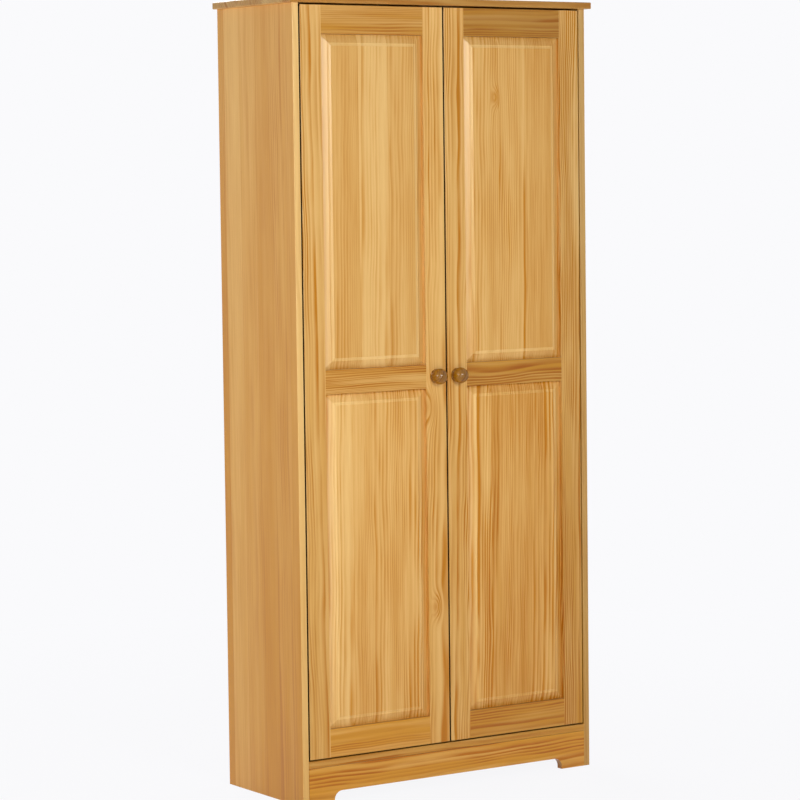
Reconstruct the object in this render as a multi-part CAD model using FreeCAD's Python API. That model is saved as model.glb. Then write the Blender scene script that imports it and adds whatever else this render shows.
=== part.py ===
import FreeCAD
import Part
import os

Vector = FreeCAD.Vector

# Two-door pine broom cupboard, millimetres.
# +Z is up, the doors face -Y, X runs left to right seen from the front.
# The origin is on the floor at the middle of the overall box, knobs included.

# Carcass boards
CASE_WIDTH = 792.0
CASE_DEPTH = 320.0
SIDE_HEIGHT = 1765.0
SIDE_THICKNESS = 16.0
TOP_THICKNESS = 15.0
TOP_OVERHANG = 12.0
BOTTOM_THICKNESS = 16.0
SHELF_THICKNESS = 16.0
PARTITION_THICKNESS = 16.0
BACK_THICKNESS = 4.0
REBATE_WIDTH = 8.0
BACK_PLAY = 0.5
ARRIS = 1.5
TOP_ARRIS = 2.5

# Plinth with its shallow arch
PLINTH_HEIGHT = 83.0
PLINTH_THICKNESS = 16.0
FOOT_WIDTH = 66.0
ARCH_HEIGHT = 26.0
ARCH_RADIUS = 20.0

# Shelves
SHELF_SETBACK = 42.0
HAT_SPACE_HEIGHT = 309.0
LOOSE_SHELVES = ("lower_shelf", "middle_shelf", "upper_shelf")
SHELF_END_PLAY = 1.0
SHELF_BACK_PLAY = 2.0
PIN_RADIUS = 2.5
PIN_IN_WOOD = 8.0
PIN_STUB = 9.0
PIN_INSET = 45.0
PIN_SPARE_PITCH = 32.0
PIN_SPARES = 1

# Doors
DOOR_GAP = 3.0
DOOR_THICKNESS = 18.0
STILE_WIDTH = 54.0
RAIL_WIDTH = 64.0
MIDDLE_RAIL_WIDTH = 54.0
MIDDLE_RAIL_RISE = 4.5
GROOVE_DEPTH = 10.0
GROOVE_PLAY = 0.1
GROOVE_END_PLAY = 1.0
TONGUE_THICKNESS = 5.0
PANEL_EDGE_DEPTH = 9.0
PANEL_EDGE_PLAY = 0.3
BEVEL_WIDTH = 18.5
BEVEL_TOP_DEPTH = 1.8
BAND_WIDTH = 2.0
SHOULDER_WIDTH = 4.5
FIELD_DEPTH = 0.3

# Turned knobs
KNOB_BALL_RADIUS = 18.0
KNOB_BALL_CENTRE = 14.0
KNOB_BASE_RADIUS = 16.5
KNOB_BASE_THICKNESS = 4.0
KNOB_BASE_ROUND = 1.6
KNOB_SCREW_RADIUS = 2.0
KNOB_SCREW_IN_KNOB = 14.0
KNOB_SCREW_HEAD_RADIUS = 4.5
KNOB_SCREW_HEAD_HEIGHT = 2.5

# Single-pivot cup hinges
HINGE_END_DISTANCE = 100.0
HINGE_NAMES = ("bottom", "middle", "top")
CUP_RADIUS = 17.4
CUP_WALL = 1.0
CUP_DEPTH = 13.2
CUP_BORE_PLAY = 0.1
CUP_EDGE_WOOD = 5.0
CUP_FLANGE_THICKNESS = 1.0
CUP_FLANGE_RIM = 2.0
CUP_FLANGE_CUT = 9.0
CUP_WING_WIDTH = 15.0
CUP_WING_SHIFT = 7.0
CUP_WING_HALF = 28.0
CUP_SCREW_HALF_SPACING = 22.5
HINGE_PIN_RADIUS = 2.0
HINGE_PIN_DEPTH = 10.0
HINGE_PIN_END = 0.4
RUNNING_CLEARANCE = 0.05
ARM_THICKNESS = 2.5
ARM_HEIGHT = 12.0
ARM_EYE_RADIUS = 3.75
ARM_NECK_ANGLE = 40.0
ARM_BEND_RADIUS = 27.5
ARM_TAIL_END = 78.0
PLATE_THICKNESS = 5.0
PLATE_START = 37.0
PLATE_END = 74.0
PLATE_HEIGHT = 16.0
PLATE_WING_THICKNESS = 2.5
PLATE_WING_START = 47.0
PLATE_WING_END = 63.0
PLATE_WING_HALF = 24.0
PLATE_SCREW_HALF_SPACING = 17.0
ARM_SCREW_RADIUS = 2.5
ARM_SCREW_HEAD_RADIUS = 4.2
ARM_SCREW_HEAD_HEIGHT = 1.6
ARM_SCREW_POSITION = 68.0

# Wood screws with countersunk heads
SCREW_RADIUS = 1.6
SCREW_HEAD_RADIUS = 3.2
SCREW_HEAD_HEIGHT = 1.8
SCREW_LENGTH = 12.0
SCREW_SLOT_WIDTH = 0.8
SCREW_SLOT_DEPTH = 0.7
SCREW_PLAY = 0.05

# Magnetic catches and strike plates
CATCH_WIDTH = 46.0
CATCH_DEPTH = 16.0
CATCH_HEIGHT = 14.0
CATCH_WALL = 2.5
CATCH_SCREW_HALF_SPACING = 18.5
CATCH_EAR = 5.0
MAGNET_WIDTH = 28.0
MAGNET_PROJECTION = 0.6
MAGNET_PLAY = 0.1
STRIKE_WIDTH = 36.0
STRIKE_HEIGHT = 12.0
STRIKE_THICKNESS = 1.2
STRIKE_AIR = 0.3
STRIKE_TOP_DISTANCE = 1.5
STRIKE_SCREW_HALF_SPACING = 13.0

# Dowels and nails
DOWEL_RADIUS = 4.0
DOWEL_IN_END = 20.0
DOWEL_SKIN = 5.0
DOWEL_PLAY = 0.05
DOWEL_END_PLAY = 0.5
DOWEL_EDGE_DISTANCE = 45.0
DOWELS_PER_CASE_JOINT = 3
DOWELS_PER_SHELF_JOINT = 2
PLINTH_DOWEL_HEIGHTS = (40.0, 72.0)
NAIL_RADIUS = 0.8
NAIL_LENGTH = 18.0
NAIL_HEAD_RADIUS = 1.8
NAIL_HEAD_HEIGHT = 0.8
NAILS_PER_EDGE = 6
NAILS_PER_SHELF = 3
NAIL_END_DISTANCE = 40.0

# Positions that follow from the sizes above
KNOB_PROJECTION = KNOB_BALL_CENTRE + KNOB_BALL_RADIUS
FRONT = (KNOB_PROJECTION - CASE_DEPTH) / 2
BACK = FRONT + CASE_DEPTH
CASE_LEFT = -CASE_WIDTH / 2
INSIDE_LEFT = CASE_LEFT + SIDE_THICKNESS
INSIDE_RIGHT = -INSIDE_LEFT
BACK_FACE = BACK - BACK_THICKNESS
SHELF_FRONT = FRONT + SHELF_SETBACK
BOTTOM_TOP = PLINTH_HEIGHT + BOTTOM_THICKNESS
HAT_SHELF_TOP = SIDE_HEIGHT - HAT_SPACE_HEIGHT
HAT_SHELF_UNDERSIDE = HAT_SHELF_TOP - SHELF_THICKNESS
DOOR_LEFT = INSIDE_LEFT + DOOR_GAP
DOOR_RIGHT = -DOOR_GAP / 2
DOOR_BOTTOM = BOTTOM_TOP + DOOR_GAP
DOOR_TOP = SIDE_HEIGHT - DOOR_GAP
MIDDLE_RAIL_MIDDLE = (DOOR_BOTTOM + DOOR_TOP) / 2 + MIDDLE_RAIL_RISE
DOOR_BACK = FRONT + DOOR_THICKNESS
OPENING_LEFT = DOOR_LEFT + STILE_WIDTH
OPENING_RIGHT = DOOR_RIGHT - STILE_WIDTH
MEETING_STILE_MIDDLE = DOOR_RIGHT - STILE_WIDTH / 2
GROOVE_FRONT = FRONT + PANEL_EDGE_DEPTH - GROOVE_PLAY
GROOVE_BACK = FRONT + PANEL_EDGE_DEPTH + TONGUE_THICKNESS + GROOVE_PLAY
HINGE_X = DOOR_LEFT + CUP_EDGE_WOOD + CUP_RADIUS + CUP_BORE_PLAY
HINGE_Y = FRONT + HINGE_PIN_DEPTH
CUP_FLOOR = DOOR_BACK - CUP_DEPTH
MIDDLE_RAIL_BOTTOM = MIDDLE_RAIL_MIDDLE - MIDDLE_RAIL_WIDTH / 2
MIDDLE_RAIL_TOP = MIDDLE_RAIL_MIDDLE + MIDDLE_RAIL_WIDTH / 2
UPPER_OPENING = (MIDDLE_RAIL_TOP, DOOR_TOP - RAIL_WIDTH)
LOWER_OPENING = (DOOR_BOTTOM + RAIL_WIDTH, MIDDLE_RAIL_BOTTOM)

AXIS_X = Vector(1, 0, 0)
AXIS_Y = Vector(0, 1, 0)
AXIS_Z = Vector(0, 0, 1)
RIGHT_ANGLE = 90.0
TOUCH = 1e-6


def block(x_range, y_range, z_range):
    """Box between two limits on each axis."""
    corner = Vector(x_range[0], y_range[0], z_range[0])
    lengths = [high - low for low, high in (x_range, y_range, z_range)]
    return Part.makeBox(*lengths, corner)


def rod(start, direction, length, radius):
    """Cylinder from a start point along a direction."""
    return Part.makeCylinder(radius, length, start, direction)


def spread(first, last, count):
    """Even positions from first to last, both included."""
    step = (last - first) / (count - 1)
    return [first + step * i for i in range(count)]


def edges_at(shape, x=None, y=None, z=None):
    """Edges lying wholly on the given axis planes."""
    found = []
    for edge in shape.Edges:
        box = edge.BoundBox
        limits = ((x, box.XMin, box.XMax), (y, box.YMin, box.YMax), (z, box.ZMin, box.ZMax))
        if all(at is None or max(abs(low - at), abs(high - at)) < TOUCH for at, low, high in limits):
            found.append(edge)
    return found


def mirrored(shape):
    """The same piece for the other half of the cupboard."""
    return shape.mirror(Vector(0, 0, 0), AXIS_X)


def both_halves(shapes):
    """Pieces of the left half followed by their mirror images."""
    return list(shapes) + [mirrored(shape) for shape in shapes]


def screw(point, direction, grow=0.0):
    """Countersunk wood screw, its head level with the point; grow gives the hole for it."""
    radii = (SCREW_HEAD_RADIUS + grow, SCREW_RADIUS + grow)
    head = Part.makeCone(*radii, SCREW_HEAD_HEIGHT, point, direction)
    shank = rod(point, direction, SCREW_LENGTH + grow, SCREW_RADIUS + grow)
    return head.fuse(shank).removeSplitter()


def slotted(solid, point, direction, radius):
    """Cross recess in a screw head whose top is at the point."""
    lead = AXIS_Z if abs(direction.z) < TOUCH else AXIS_X
    for way in (lead, direction.cross(lead)):
        side = direction.cross(way)
        corner = point - way * (radius / 2) - side * (SCREW_SLOT_WIDTH / 2)
        outline = [corner, corner + way * radius]
        outline.append(outline[1] + side * SCREW_SLOT_WIDTH)
        outline.append(corner + side * SCREW_SLOT_WIDTH)
        face = Part.Face(Part.makePolygon(outline + [corner]))
        solid = solid.cut(face.extrude(direction * SCREW_SLOT_DEPTH))
    return solid


def screws(places):
    """Finished screws at a list of places (point, direction)."""
    return [slotted(screw(point, way), point, way, SCREW_HEAD_RADIUS) for point, way in places]


def screw_holes(places):
    """Holes for the screws at a list of places."""
    return [screw(point, way, SCREW_PLAY) for point, way in places]


def dowel(joint):
    """Dowel across a joint: point on the face, direction into the end grain, depth into the face."""
    point, way, face_depth = joint
    return rod(point - way * face_depth, way, face_depth + DOWEL_IN_END, DOWEL_RADIUS)


def dowel_hole(joint):
    """Hole for one dowel in both boards, a little longer than the dowel."""
    point, way, face_depth = joint
    length = face_depth + DOWEL_IN_END + 2 * DOWEL_END_PLAY
    return rod(point - way * (face_depth + DOWEL_END_PLAY), way, length, DOWEL_RADIUS + DOWEL_PLAY)


def board_depths(count):
    """Dowel places along the depth of the case."""
    return spread(SHELF_FRONT + DOWEL_EDGE_DISTANCE, BACK_FACE - DOWEL_EDGE_DISTANCE, count)


def left_dowels():
    """Dowels between the left side and the boards that meet it."""
    into_side = SIDE_THICKNESS - DOWEL_SKIN
    into_top = TOP_THICKNESS - DOWEL_SKIN
    joints = []
    for y in board_depths(DOWELS_PER_CASE_JOINT):
        joints.append((Vector(CASE_LEFT + SIDE_THICKNESS / 2, y, SIDE_HEIGHT), -AXIS_Z, into_top))
        joints.append((Vector(INSIDE_LEFT, y, BOTTOM_TOP - BOTTOM_THICKNESS / 2), AXIS_X, into_side))
    for y in board_depths(DOWELS_PER_SHELF_JOINT):
        joints.append((Vector(INSIDE_LEFT, y, HAT_SHELF_TOP - SHELF_THICKNESS / 2), AXIS_X, into_side))
    for z in PLINTH_DOWEL_HEIGHTS:
        joints.append((Vector(INSIDE_LEFT, FRONT + PLINTH_THICKNESS / 2, z), AXIS_X, into_side))
    return joints


def partition_dowels():
    """Dowels at the foot and head of the partition."""
    joints = []
    for y in board_depths(DOWELS_PER_SHELF_JOINT):
        joints.append((Vector(0, y, BOTTOM_TOP), AXIS_Z, BOTTOM_THICKNESS - DOWEL_SKIN))
        joints.append((Vector(0, y, HAT_SHELF_UNDERSIDE), -AXIS_Z, SHELF_THICKNESS - DOWEL_SKIN))
    return joints


def nail(x, z, grow=0.0):
    """Back-panel nail driven forwards, its head level with the back."""
    shank = rod(Vector(x, BACK, z), -AXIS_Y, NAIL_LENGTH + grow, NAIL_RADIUS + grow)
    head = rod(Vector(x, BACK, z), -AXIS_Y, NAIL_HEAD_HEIGHT + grow, NAIL_HEAD_RADIUS + grow)
    return shank.fuse(head).removeSplitter()


def left_nail_places():
    """Nails round the left back panel: side, bottom board, hat shelf and partition."""
    low = BOTTOM_TOP + NAIL_END_DISTANCE
    edge_x = INSIDE_LEFT - REBATE_WIDTH / 2
    places = [(edge_x, z) for z in spread(low, SIDE_HEIGHT - NAIL_END_DISTANCE, NAILS_PER_EDGE)]
    middle_x = -PARTITION_THICKNESS / 4
    high = HAT_SHELF_UNDERSIDE - NAIL_END_DISTANCE
    places += [(middle_x, z) for z in spread(low, high, NAILS_PER_EDGE)]
    for x in spread(INSIDE_LEFT + NAIL_END_DISTANCE, -NAIL_END_DISTANCE, NAILS_PER_SHELF):
        places.append((x, BOTTOM_TOP - BOTTOM_THICKNESS / 2))
        places.append((x, HAT_SHELF_UNDERSIDE + SHELF_THICKNESS / 2))
    return places


def shelf_heights():
    """Undersides of the loose shelves, evenly shared between bottom board and hat shelf."""
    count = len(LOOSE_SHELVES)
    clear = (HAT_SHELF_UNDERSIDE - BOTTOM_TOP - count * SHELF_THICKNESS) / (count + 1)
    return [BOTTOM_TOP + clear * (i + 1) + SHELF_THICKNESS * i for i in range(count)]


def pin_depths():
    """Front and back rows of shelf pins."""
    return (SHELF_FRONT + PIN_INSET, BACK_FACE - PIN_INSET)


def shelf_pin(wall_x, way, y, underside):
    """Steel shelf pin: one end in the wall, the other carrying the shelf."""
    start = Vector(wall_x, y, underside - PIN_RADIUS)
    return rod(start - way * PIN_IN_WOOD, way, PIN_IN_WOOD + PIN_STUB, PIN_RADIUS)


def pin_holes(wall_x, way):
    """Shelf-pin holes in one wall, with spare positions above and below."""
    holes = []
    for underside in shelf_heights():
        for step in range(-PIN_SPARES, PIN_SPARES + 1):
            for y in pin_depths():
                start = Vector(wall_x, y, underside - PIN_RADIUS + step * PIN_SPARE_PITCH)
                deep = PIN_IN_WOOD + DOWEL_END_PLAY
                holes.append(rod(start - way * deep, way, deep, PIN_RADIUS + DOWEL_PLAY))
    return holes


def shelf_pins():
    """All pins under the loose shelves."""
    walls = ((PARTITION_THICKNESS / 2, AXIS_X), (INSIDE_RIGHT, -AXIS_X))
    return [shelf_pin(x, way, y, z) for x, way in walls for z in shelf_heights() for y in pin_depths()]


def hinge_heights():
    """Heights of the hinges on each door."""
    return spread(DOOR_BOTTOM + HINGE_END_DISTANCE, DOOR_TOP - HINGE_END_DISTANCE, len(HINGE_NAMES))


def plate_screw_places(z):
    """Two screws holding one hinge plate to the left side."""
    y = FRONT + (PLATE_WING_START + PLATE_WING_END) / 2
    x = INSIDE_LEFT + PLATE_WING_THICKNESS
    offsets = (-PLATE_SCREW_HALF_SPACING, PLATE_SCREW_HALF_SPACING)
    return [(Vector(x, y, z + offset), -AXIS_X) for offset in offsets]


def arm_screw(z, grow=0.0):
    """Screw that clamps the hinge arm on its plate."""
    start = Vector(INSIDE_LEFT + SCREW_PLAY, FRONT + ARM_SCREW_POSITION, z)
    shank = rod(start, AXIS_X, PLATE_THICKNESS + ARM_THICKNESS - SCREW_PLAY, ARM_SCREW_RADIUS + grow)
    seat = Vector(INSIDE_LEFT + PLATE_THICKNESS + ARM_THICKNESS, start.y, z)
    head = rod(seat, AXIS_X, ARM_SCREW_HEAD_HEIGHT, ARM_SCREW_HEAD_RADIUS)
    crown = seat + AXIS_X * ARM_SCREW_HEAD_HEIGHT
    return slotted(shank.fuse(head).removeSplitter(), crown, -AXIS_X, ARM_SCREW_HEAD_RADIUS)


def hinge_plate(z):
    """Cross-shaped mounting plate on the left side."""
    middle = (z - PLATE_HEIGHT / 2, z + PLATE_HEIGHT / 2)
    wing = (z - PLATE_WING_HALF, z + PLATE_WING_HALF)
    bar_y = (FRONT + PLATE_START, FRONT + PLATE_END)
    bar = block((INSIDE_LEFT, INSIDE_LEFT + PLATE_THICKNESS), bar_y, middle)
    cross_y = (FRONT + PLATE_WING_START, FRONT + PLATE_WING_END)
    wings = block((INSIDE_LEFT, INSIDE_LEFT + PLATE_WING_THICKNESS), cross_y, wing)
    plate = bar.fuse(wings).removeSplitter()
    return plate.cut(screw_holes(plate_screw_places(z)) + [arm_screw(z, SCREW_PLAY)])


def hinge_arm(z):
    """Swan-necked arm: eye on the pin, neck, bend round the door edge, crank and tail on the plate."""
    axis = Vector(HINGE_X, HINGE_Y, z - ARM_HEIGHT / 2)
    heights = (z - ARM_HEIGHT / 2, z + ARM_HEIGHT / 2)
    half = ARM_THICKNESS / 2
    tail_x = INSIDE_LEFT + PLATE_THICKNESS
    crank_y = HINGE_Y + ARM_BEND_RADIUS
    eye = rod(axis, AXIS_Z, ARM_HEIGHT, ARM_EYE_RADIUS)
    neck = Part.makeBox(ARM_BEND_RADIUS, ARM_THICKNESS, ARM_HEIGHT, axis - AXIS_Y * half)
    neck.rotate(axis, AXIS_Z, ARM_NECK_ANGLE)
    sector = RIGHT_ANGLE - ARM_NECK_ANGLE
    bend = Part.makeCylinder(ARM_BEND_RADIUS + half, ARM_HEIGHT, axis, AXIS_Z, sector)
    bend = bend.cut(rod(axis, AXIS_Z, ARM_HEIGHT, ARM_BEND_RADIUS - half))
    bend.rotate(axis, AXIS_Z, ARM_NECK_ANGLE)
    crank = block((tail_x, HINGE_X), (crank_y - half, crank_y + half), heights)
    tail = block((tail_x, tail_x + ARM_THICKNESS), (crank_y - half, FRONT + ARM_TAIL_END), heights)
    arm = eye.multiFuse([neck, bend, crank, tail]).removeSplitter()
    pin_hole = rod(axis, AXIS_Z, ARM_HEIGHT, HINGE_PIN_RADIUS + RUNNING_CLEARANCE)
    return arm.cut([pin_hole, arm_screw(z, SCREW_PLAY)])


def hinge_pin(z, grow=0.0):
    """Pin across the cup, its ends held in the cup wall."""
    half = CUP_RADIUS - HINGE_PIN_END
    return rod(Vector(HINGE_X, HINGE_Y, z - half), AXIS_Z, 2 * half, HINGE_PIN_RADIUS + grow)


def cup_screw_places(z):
    """Two screws through the wings of one hinge cup."""
    x = HINGE_X + CUP_WING_SHIFT
    y = DOOR_BACK + CUP_FLANGE_THICKNESS
    offsets = (-CUP_SCREW_HALF_SPACING, CUP_SCREW_HALF_SPACING)
    return [(Vector(x, y, z + offset), -AXIS_Y) for offset in offsets]


def hinge_cup(z):
    """Pressed steel cup let into the back of the hinge stile, with a screwed flange."""
    floor = Vector(HINGE_X, CUP_FLOOR, z)
    back = DOOR_BACK + CUP_FLANGE_THICKNESS
    flange_y = (DOOR_BACK, back)
    cup = rod(floor, AXIS_Y, CUP_DEPTH, CUP_RADIUS)
    rim_radius = CUP_RADIUS + CUP_FLANGE_RIM
    rim = rod(Vector(HINGE_X, DOOR_BACK, z), AXIS_Y, CUP_FLANGE_THICKNESS, rim_radius)
    kept = (HINGE_X - CUP_FLANGE_CUT, HINGE_X + rim_radius)
    rim = rim.common(block(kept, flange_y, (z - rim_radius, z + rim_radius)))
    wing_middle = HINGE_X + CUP_WING_SHIFT
    wing_x = (wing_middle - CUP_WING_WIDTH / 2, wing_middle + CUP_WING_WIDTH / 2)
    wings = block(wing_x, flange_y, (z - CUP_WING_HALF, z + CUP_WING_HALF))
    hollow_depth = CUP_DEPTH + CUP_FLANGE_THICKNESS
    hollow = rod(floor + AXIS_Y * CUP_WALL, AXIS_Y, hollow_depth, CUP_RADIUS - CUP_WALL)
    body = cup.multiFuse([rim, wings]).removeSplitter()
    return body.cut([hollow, hinge_pin(z, SCREW_PLAY)] + screw_holes(cup_screw_places(z)))


def cup_bore(z):
    """Bore for one hinge cup in the hinge stile."""
    return rod(Vector(HINGE_X, CUP_FLOOR, z), AXIS_Y, CUP_DEPTH, CUP_RADIUS + CUP_BORE_PLAY)


def strike_screw_places():
    """Two screws holding the strike plate on the meeting stile."""
    y = DOOR_BACK + STRIKE_THICKNESS
    z = DOOR_TOP - STRIKE_TOP_DISTANCE - STRIKE_HEIGHT / 2
    offsets = (-STRIKE_SCREW_HALF_SPACING, STRIKE_SCREW_HALF_SPACING)
    return [(Vector(MEETING_STILE_MIDDLE + offset, y, z), -AXIS_Y) for offset in offsets]


def strike_plate():
    """Steel plate that the catch holds."""
    x_range = (MEETING_STILE_MIDDLE - STRIKE_WIDTH / 2, MEETING_STILE_MIDDLE + STRIKE_WIDTH / 2)
    top = DOOR_TOP - STRIKE_TOP_DISTANCE
    plate = block(x_range, (DOOR_BACK, DOOR_BACK + STRIKE_THICKNESS), (top - STRIKE_HEIGHT, top))
    return plate.cut(screw_holes(strike_screw_places()))


def catch_front():
    """Front of the catch housing, behind the strike plate."""
    return DOOR_BACK + STRIKE_THICKNESS + STRIKE_AIR + MAGNET_PROJECTION


def catch_screw_places():
    """Two screws holding one catch under the top board."""
    y = catch_front() + CATCH_DEPTH / 2
    z = SIDE_HEIGHT - CATCH_EAR
    offsets = (-CATCH_SCREW_HALF_SPACING, CATCH_SCREW_HALF_SPACING)
    return [(Vector(MEETING_STILE_MIDDLE + offset, y, z), AXIS_Z) for offset in offsets]


def catch_pocket(play):
    """Magnet space in the housing; play is taken off all round."""
    half = MAGNET_WIDTH / 2 - play
    low = SIDE_HEIGHT - CATCH_HEIGHT + CATCH_WALL
    front = catch_front() - MAGNET_PROJECTION
    y_range = (front, catch_front() + CATCH_DEPTH - CATCH_WALL - play)
    x_range = (MEETING_STILE_MIDDLE - half, MEETING_STILE_MIDDLE + half)
    return block(x_range, y_range, (low, SIDE_HEIGHT - CATCH_WALL - play))


def catch_housing():
    """Plastic housing with ears for the screws."""
    x_range = (MEETING_STILE_MIDDLE - CATCH_WIDTH / 2, MEETING_STILE_MIDDLE + CATCH_WIDTH / 2)
    y_range = (catch_front(), catch_front() + CATCH_DEPTH)
    body = block(x_range, y_range, (SIDE_HEIGHT - CATCH_HEIGHT, SIDE_HEIGHT))
    low = CATCH_HEIGHT - CATCH_EAR
    well_radius = SCREW_HEAD_RADIUS + MAGNET_PLAY
    wells = [rod(point - way * low, way, low, well_radius) for point, way in catch_screw_places()]
    return body.cut([catch_pocket(0.0)] + wells + screw_holes(catch_screw_places()))


def side_board():
    """Left side: rebated for the back, drilled for dowels, hinge plates and nails."""
    board = block((CASE_LEFT, INSIDE_LEFT), (FRONT, BACK), (0, SIDE_HEIGHT))
    front_edges = edges_at(board, x=CASE_LEFT, y=FRONT) + edges_at(board, x=INSIDE_LEFT, y=FRONT)
    board = board.makeFillet(ARRIS, front_edges)
    rebate = block((INSIDE_LEFT - REBATE_WIDTH, INSIDE_LEFT), (BACK_FACE, BACK), (0, SIDE_HEIGHT))
    tools = [rebate] + [dowel_hole(joint) for joint in left_dowels()] + left_nail_holes()
    for z in hinge_heights():
        tools += screw_holes(plate_screw_places(z))
    return board.cut(tools)


def left_nail_holes():
    """Holes for the nails of the left half."""
    return [nail(x, z, DOWEL_PLAY) for x, z in left_nail_places()]


def top_board():
    """Top with rounded front and end edges, drilled from below."""
    half = CASE_WIDTH / 2 + TOP_OVERHANG
    front = FRONT - TOP_OVERHANG
    top = SIDE_HEIGHT + TOP_THICKNESS
    board = block((-half, half), (front, BACK), (SIDE_HEIGHT, top))
    rounded = []
    for z in (SIDE_HEIGHT, top):
        rounded += edges_at(board, y=front, z=z)
        rounded += edges_at(board, x=half, z=z) + edges_at(board, x=-half, z=z)
    rounded += edges_at(board, x=half, y=front) + edges_at(board, x=-half, y=front)
    board = board.makeFillet(TOP_ARRIS, rounded)
    tools = [dowel_hole(joint) for joint in left_dowels()] + screw_holes(catch_screw_places())
    return board.cut(both_halves(tools))


def cross_board(y_range, z_range, joints):
    """Board from side to side with rounded front edges, drilled for dowels and nails."""
    board = block((INSIDE_LEFT, INSIDE_RIGHT), y_range, z_range)
    front_edges = edges_at(board, y=y_range[0], z=z_range[0]) + edges_at(board, y=y_range[0], z=z_range[1])
    board = board.makeFillet(ARRIS, front_edges)
    return board.cut(both_halves([dowel_hole(joint) for joint in joints] + left_nail_holes()))


def bottom_board():
    """Cupboard floor lying on the plinth, its front edge level with the doors."""
    board = cross_board((FRONT, BACK_FACE), (PLINTH_HEIGHT, BOTTOM_TOP), left_dowels())
    return board.cut(partition_holes())


def hat_shelf():
    """Fixed shelf above the partition."""
    y_range = (SHELF_FRONT, BACK_FACE)
    board = cross_board(y_range, (HAT_SHELF_UNDERSIDE, HAT_SHELF_TOP), left_dowels())
    return board.cut(partition_holes())


def partition_holes():
    """Dowel holes at both ends of the partition."""
    return [dowel_hole(joint) for joint in partition_dowels()]


def partition():
    """Upright between bottom board and hat shelf."""
    half = PARTITION_THICKNESS / 2
    board = block((-half, half), (SHELF_FRONT, BACK_FACE), (BOTTOM_TOP, HAT_SHELF_UNDERSIDE))
    front_edges = edges_at(board, x=-half, y=SHELF_FRONT) + edges_at(board, x=half, y=SHELF_FRONT)
    board = board.makeFillet(ARRIS, front_edges)
    return board.cut(partition_holes() + both_halves(left_nail_holes()) + pin_holes(half, AXIS_X))


def loose_shelf(underside):
    """Shelf lying on four pins in the right-hand compartment."""
    x_range = (PARTITION_THICKNESS / 2 + SHELF_END_PLAY, INSIDE_RIGHT - SHELF_END_PLAY)
    top = underside + SHELF_THICKNESS
    board = block(x_range, (SHELF_FRONT, BACK_FACE - SHELF_BACK_PLAY), (underside, top))
    front_edges = edges_at(board, y=SHELF_FRONT, z=top) + edges_at(board, y=SHELF_FRONT, z=underside)
    return board.makeFillet(ARRIS, front_edges)


def plinth():
    """Plinth board with the shallow arch between its feet."""
    board = block((INSIDE_LEFT, INSIDE_RIGHT), (FRONT, FRONT + PLINTH_THICKNESS), (0, PLINTH_HEIGHT))
    left = INSIDE_LEFT + FOOT_WIDTH
    arch = block((left, -left), (FRONT, FRONT + PLINTH_THICKNESS), (0, ARCH_HEIGHT))
    corners = edges_at(arch, x=left, z=ARCH_HEIGHT) + edges_at(arch, x=-left, z=ARCH_HEIGHT)
    arch = arch.makeFillet(ARCH_RADIUS, corners)
    return board.cut([arch] + both_halves([dowel_hole(joint) for joint in left_dowels()]))


def back_panel():
    """Thin left back panel, nailed in its rebate."""
    x_range = (INSIDE_LEFT - REBATE_WIDTH + BACK_PLAY, -BACK_PLAY / 2)
    panel = block(x_range, (BACK_FACE, BACK), (PLINTH_HEIGHT, SIDE_HEIGHT))
    return panel.cut(left_nail_holes())


def stile(x_range, outer_x, groove_x):
    """Upright of the left door with a groove along its inner edge and a rounded outer edge."""
    board = block(x_range, (FRONT, DOOR_BACK), (DOOR_BOTTOM, DOOR_TOP))
    rounded = edges_at(board, x=outer_x, y=FRONT)
    rounded += edges_at(board, y=FRONT, z=DOOR_BOTTOM) + edges_at(board, y=FRONT, z=DOOR_TOP)
    board = board.makeFillet(ARRIS, rounded)
    return board.cut(block(groove_x, (GROOVE_FRONT, GROOVE_BACK), (DOOR_BOTTOM, DOOR_TOP)))


def hinge_stile():
    """Outer stile of the left door, bored for the hinge cups."""
    board = stile((DOOR_LEFT, OPENING_LEFT), DOOR_LEFT, (OPENING_LEFT - GROOVE_DEPTH, OPENING_LEFT))
    tools = []
    for z in hinge_heights():
        tools += [cup_bore(z)] + screw_holes(cup_screw_places(z))
    return board.cut(tools)


def meeting_stile():
    """Inner stile of the left door, drilled for the knob and the strike plate."""
    board = stile((OPENING_RIGHT, DOOR_RIGHT), DOOR_RIGHT, (OPENING_RIGHT, OPENING_RIGHT + GROOVE_DEPTH))
    return board.cut([knob_screw_shank(SCREW_PLAY)] + screw_holes(strike_screw_places()))


def rail(z_range, grooved, outer_z=None):
    """Cross rail of the left door with tongues into the stiles and grooves for the panels."""
    board = block((OPENING_LEFT, OPENING_RIGHT), (FRONT, DOOR_BACK), z_range)
    if outer_z is not None:
        board = board.makeFillet(ARRIS, edges_at(board, y=FRONT, z=outer_z))
    reach = GROOVE_DEPTH - GROOVE_END_PLAY
    ends = (OPENING_LEFT - reach, OPENING_RIGHT + reach)
    tongue = block(ends, (GROOVE_FRONT + GROOVE_PLAY, GROOVE_BACK - GROOVE_PLAY), z_range)
    board = board.fuse(tongue)
    for z in grooved:
        into = (z, z + GROOVE_DEPTH) if z == z_range[0] else (z - GROOVE_DEPTH, z)
        board = board.cut(block(ends, (GROOVE_FRONT, GROOVE_BACK), into))
    return board.removeSplitter()


def outline(inset, depth, z_range):
    """Rectangle inside one panel opening, set in from the frame at a depth behind the door front."""
    left = OPENING_LEFT + inset
    right = OPENING_RIGHT - inset
    low = z_range[0] + inset
    high = z_range[1] - inset
    y = FRONT + depth
    places = ((left, low), (right, low), (right, high), (left, high))
    corners = [Vector(x, y, z) for x, z in places]
    return Part.makePolygon(corners + [corners[0]])


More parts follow.
